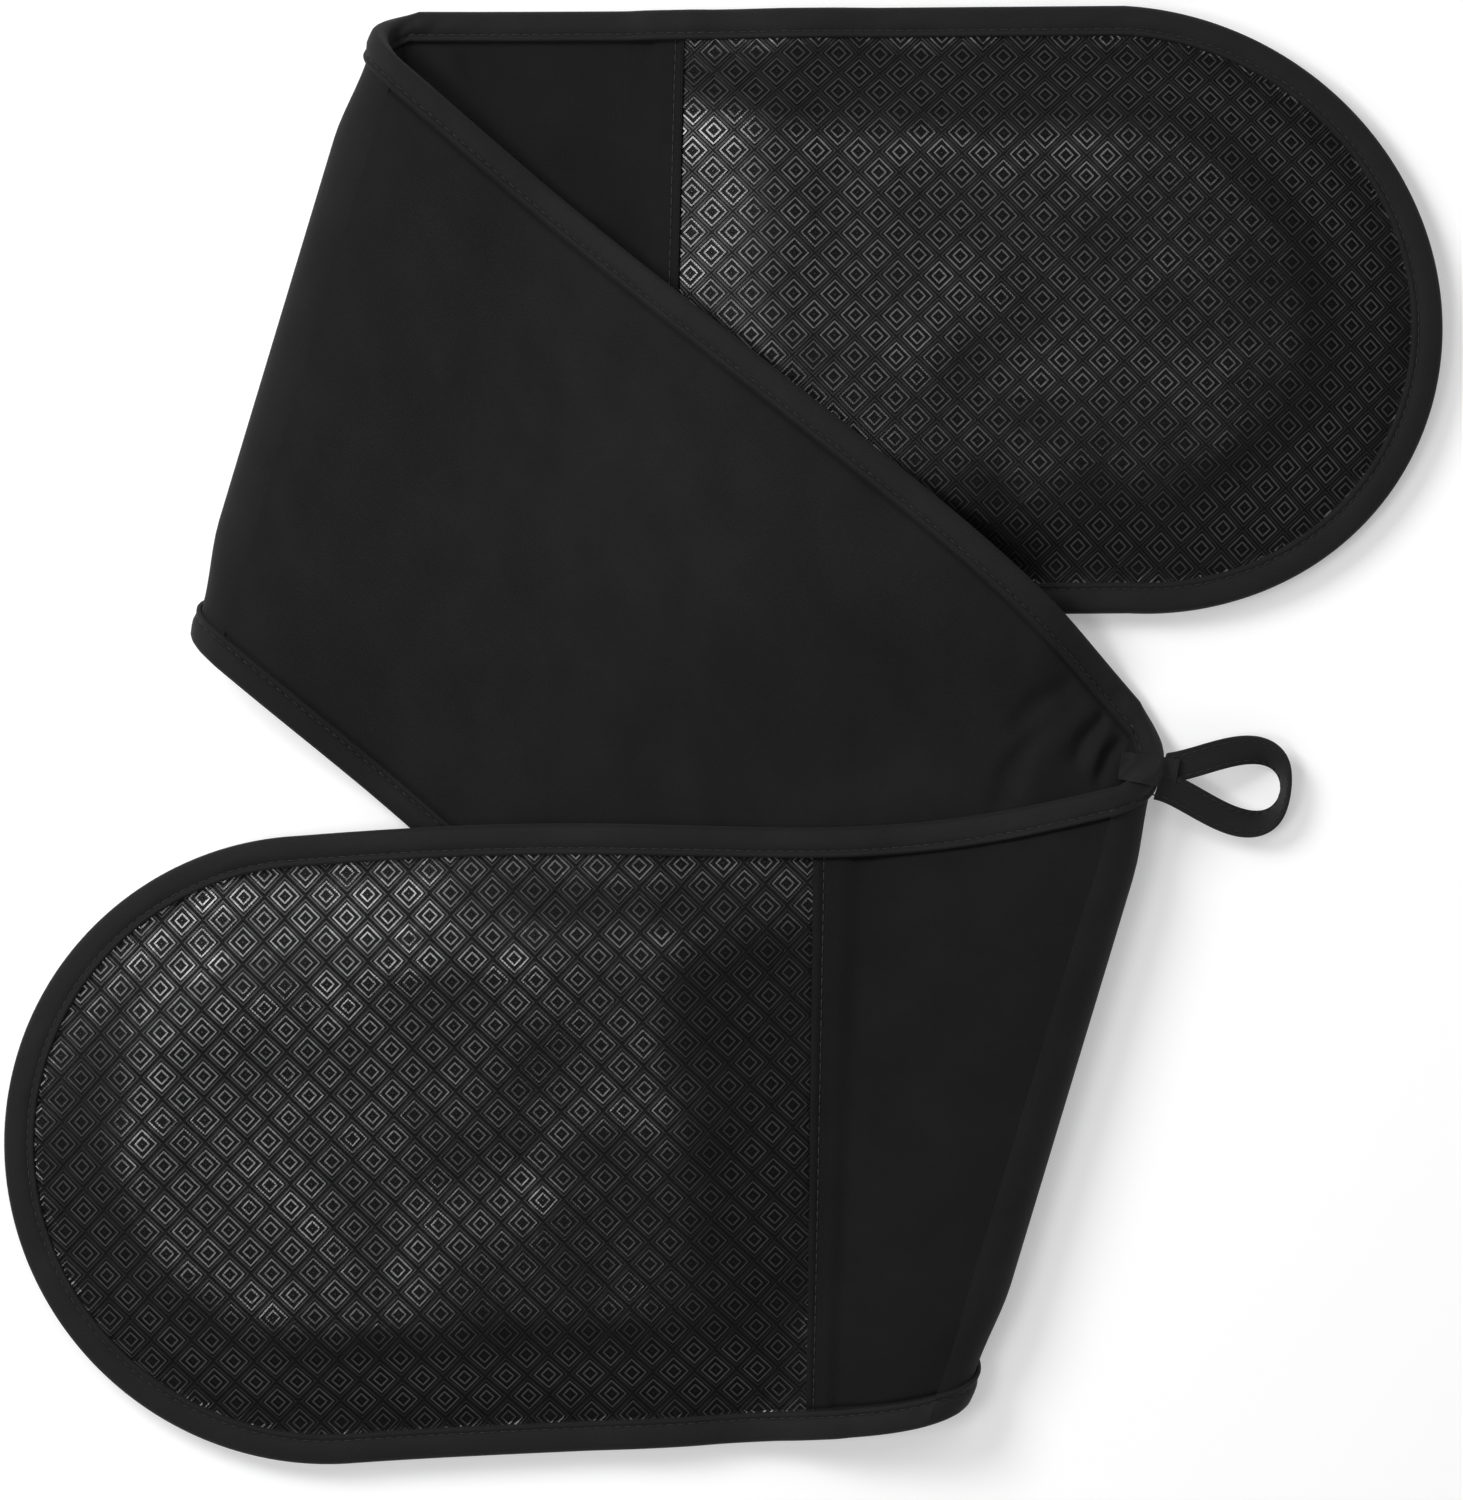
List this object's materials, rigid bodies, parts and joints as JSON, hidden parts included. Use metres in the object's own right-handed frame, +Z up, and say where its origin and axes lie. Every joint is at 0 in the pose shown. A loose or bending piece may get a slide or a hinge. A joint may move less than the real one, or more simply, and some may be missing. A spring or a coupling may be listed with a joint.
{
  "type": "double oven glove",
  "caption": "Padded double oven glove: a long strip with rounded silicone grip ends and hand pockets, bound in tape, with a hanging loop, folded into a Z and laid flat.",
  "frame": {"origin": "centre of the bounding box, on the surface that the glove lies on", "axes": "+Z up from the surface; +X along the upper glove towards its tip; +Y from the lower glove towards the upper glove"},
  "size_m": [0.4142, 0.4202, 0.0281],
  "materials": {
    "grip_silicone": "glossy black silicone embossed with nested diamonds",
    "cotton": "matt black woven cotton",
    "binding_tape": "matt black bias tape, topstitched",
    "wadding": "grey felted wadding",
    "pocket_lining": "matt black cotton lining",
    "loop_tape": "matt black woven tape"
  },
  "bodies": {
    "upper_glove": {"upper_grip_panel": "grip_silicone", "upper_front_fabric": "cotton", "upper_wadding": "wadding", "upper_back_fabric": "cotton", "upper_edge_binding": "binding_tape", "upper_pocket_lining": "pocket_lining", "upper_pocket_wadding": "wadding", "upper_pocket_panel": "cotton", "upper_pocket_binding": "binding_tape", "left_fold_back_fabric": "cotton", "left_fold_wadding": "wadding", "left_fold_front_fabric": "cotton", "left_fold_lower_binding": "binding_tape", "left_fold_upper_binding": "binding_tape"},
    "middle_strip": {"middle_front_fabric": "cotton", "middle_wadding": "wadding", "middle_back_fabric": "cotton", "middle_lower_binding": "binding_tape", "middle_upper_binding": "binding_tape", "right_fold_back_fabric": "cotton", "right_fold_wadding": "wadding", "right_fold_front_fabric": "cotton", "right_fold_lower_binding": "binding_tape", "right_fold_upper_binding": "binding_tape"},
    "lower_glove": {"lower_grip_panel": "grip_silicone", "lower_front_fabric": "cotton", "lower_wadding": "wadding", "lower_back_fabric": "cotton", "lower_edge_binding": "binding_tape", "lower_pocket_lining": "pocket_lining", "lower_pocket_wadding": "wadding", "lower_pocket_panel": "cotton", "lower_pocket_binding": "binding_tape"},
    "hanging_loop": {"hanging_loop": "loop_tape"}
  },
  "joints": [
    {"name": "left_fold", "type": "hinge", "parent": "upper_glove", "child": "middle_strip", "pos_m": [-0.11454, 0.12068, 0.012], "axis": [-0.2882, -0.9576, 0], "range_deg": [0, 180], "deforming": ["left_fold_back_fabric", "left_fold_wadding", "left_fold_front_fabric", "left_fold_lower_binding", "left_fold_upper_binding"]},
    {"name": "right_fold", "type": "hinge", "parent": "middle_strip", "child": "lower_glove", "pos_m": [0.0862, -0.10361, 0.012], "axis": [0.2882, 0.9576, 0], "range_deg": [0, 180], "deforming": ["right_fold_back_fabric", "right_fold_wadding", "right_fold_front_fabric", "right_fold_lower_binding", "right_fold_upper_binding"]},
    {"name": "loop_swing", "type": "hinge", "parent": "middle_strip", "child": "hanging_loop", "pos_m": [0.12603, -0.01223, 0.012], "axis": [-0.2882, -0.9576, 0], "range_deg": [0, 90]}
  ]
}
